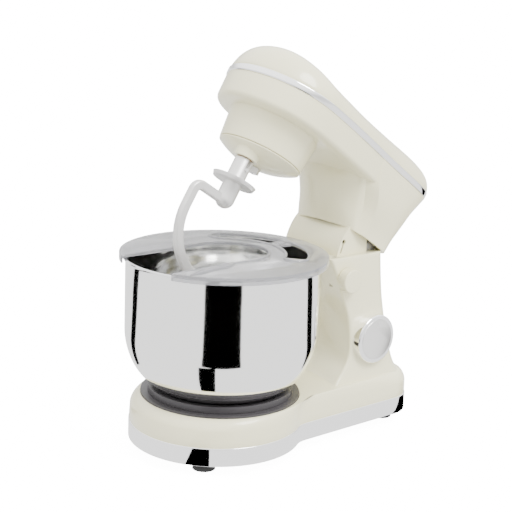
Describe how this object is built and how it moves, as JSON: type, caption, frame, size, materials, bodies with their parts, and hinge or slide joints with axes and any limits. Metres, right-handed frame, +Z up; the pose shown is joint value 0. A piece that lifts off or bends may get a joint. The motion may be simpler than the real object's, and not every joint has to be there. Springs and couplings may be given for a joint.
{
  "type": "stand mixer",
  "caption": "Tilt-head stand mixer with its head up, a dough hook, a steel bowl, a clear splash guard and a side speed knob.",
  "frame": {"origin": "on the surface it stands on, under the middle of the whole object's box, with the head up", "axes": "+Z up; -Y towards the bowl end of the mixer; +X to the side with the speed knob"},
  "size_m": [0.218, 0.3837, 0.4197],
  "materials": {
    "cream_gloss": "gloss",
    "chrome_trim": "polished",
    "satin_metal": "satin",
    "bowl_steel": "polished",
    "clear_grey": "clear plastic",
    "dark_grey_plastic": "matte",
    "black_rubber": "matte",
    "hook_metal": "polished",
    "cast_alloy": "as cast",
    "shaft_steel": "turned",
    "gear_plastic": "moulded",
    "bronze_bush": "sintered",
    "board_green": "matte",
    "winding_steel": "laminated"
  },
  "bodies": {
    "base": {"base_shell": "cream_gloss", "base_trim": "chrome_trim", "bottom_tray": "dark_grey_plastic", "suction_feet": "black_rubber", "foot_screws": "shaft_steel", "bowl_seat": "dark_grey_plastic", "seat_screws": "shaft_steel", "cord_gland": "black_rubber", "neck_guide": "cream_gloss", "hinge_bushes": "bronze_bush", "control_board": "board_green", "speed_switch": "dark_grey_plastic", "latch_guide": "dark_grey_plastic", "latch_spring": "shaft_steel"},
    "speed_control": {"speed_knob": "chrome_trim", "knob_face": "satin_metal", "speed_spindle": "shaft_steel"},
    "release_control": {"release_knob": "cream_gloss", "release_spindle": "shaft_steel"},
    "latch": {"latch_bolt": "cast_alloy"},
    "head": {"head_top_shell": "cream_gloss", "head_band": "chrome_trim", "head_lower_shell": "cream_gloss", "gearbox_plate": "cast_alloy", "hinge_arms": "cast_alloy", "hinge_pin": "shaft_steel", "bearing_web": "cast_alloy", "main_bearings": "shaft_steel", "lay_bearings": "shaft_steel", "ring_gear": "gear_plastic", "motor_stator": "winding_steel", "motor_brackets": "cast_alloy", "motor_bearings": "shaft_steel", "drive_belt": "black_rubber", "plate_screws": "shaft_steel"},
    "planet": {"planet_carrier": "cream_gloss", "tool_bush": "bronze_bush", "main_shaft": "shaft_steel", "centre_nut": "hook_metal", "main_gear": "gear_plastic"},
    "tool": {"tool_shaft": "hook_metal", "cross_pin": "hook_metal", "planet_pinion": "shaft_steel"},
    "hook": {"dough_hook": "hook_metal"},
    "layshaft": {"lay_shaft": "shaft_steel", "lay_pinion": "shaft_steel", "lay_pulley": "gear_plastic"},
    "motor": {"motor_shaft": "shaft_steel", "motor_rotor": "winding_steel", "motor_pulley": "shaft_steel", "cooling_fan": "gear_plastic"},
    "bowl": {"bowl": "bowl_steel", "bowl_base_ring": "dark_grey_plastic"},
    "guard": {"splash_guard": "clear_grey"}
  },
  "joints": [
    {"name": "head_tilt", "type": "hinge", "parent": "base", "child": "head", "pos_m": [0, 0.0922, 0.188], "axis": [-1, 0, 0], "range_deg": [-32.2, 0]},
    {"name": "planet_spin", "type": "hinge", "parent": "head", "child": "planet", "pos_m": [0, -0.0467, 0.30147], "axis": [0, 0.5329, 0.8462], "range_deg": [-60, 30]},
    {"name": "tool_spin", "type": "hinge", "parent": "planet", "child": "tool", "pos_m": [0.00999, -0.06701, 0.31426], "axis": [0, 0.5329, 0.8462], "range_deg": [-130.5, 260.5]},
    {"name": "hook_pull", "type": "slide", "parent": "tool", "child": "hook", "axis": [0, -0.5329, -0.8462], "range_m": [0, 0.014]},
    {"name": "layshaft_spin", "type": "hinge", "parent": "head", "child": "layshaft", "pos_m": [0, 0.03287, 0.32227], "axis": [0, 0.5329, 0.8462], "range_deg": [-120.5, 240.5]},
    {"name": "motor_spin", "type": "hinge", "parent": "head", "child": "motor", "pos_m": [0, 0.10154, 0.25538], "axis": [0, 0.5329, 0.8462], "range_deg": [-427.17, 853.83]},
    {"name": "speed_turn", "type": "hinge", "parent": "base", "child": "speed_control", "pos_m": [0.055, 0.0822, 0.103], "axis": [1, 0, 0], "range_deg": [-200, 40]},
    {"name": "release_turn", "type": "hinge", "parent": "base", "child": "release_control", "pos_m": [0.052, 0.0422, 0.174], "axis": [1, 0, 0], "range_deg": [0, 45], "stiffness_Nm_per_rad": 0.15},
    {"name": "latch_slide", "type": "slide", "parent": "base", "child": "latch", "axis": [0, -1, 0], "range_m": [0, 0.0062], "deforming": ["latch_spring"]},
    {"name": "bowl_twist", "type": "hinge", "parent": "base", "child": "bowl", "pos_m": [0, -0.0858, 0.06], "axis": [0, 0, 1], "range_deg": [0, 25]},
    {"name": "guard_lift", "type": "slide", "parent": "bowl", "child": "guard", "axis": [0, 0, 1], "range_m": [0, 0.008]}
  ],
  "couplings": [
    {"joint": "tool_spin", "follows": "planet_spin", "ratio": -4.3333},
    {"joint": "layshaft_spin", "follows": "planet_spin", "ratio": -4},
    {"joint": "motor_spin", "follows": "planet_spin", "ratio": -14.222},
    {"joint": "latch_slide", "follows": "release_turn", "m_per_rad": 0.007639}
  ]
}
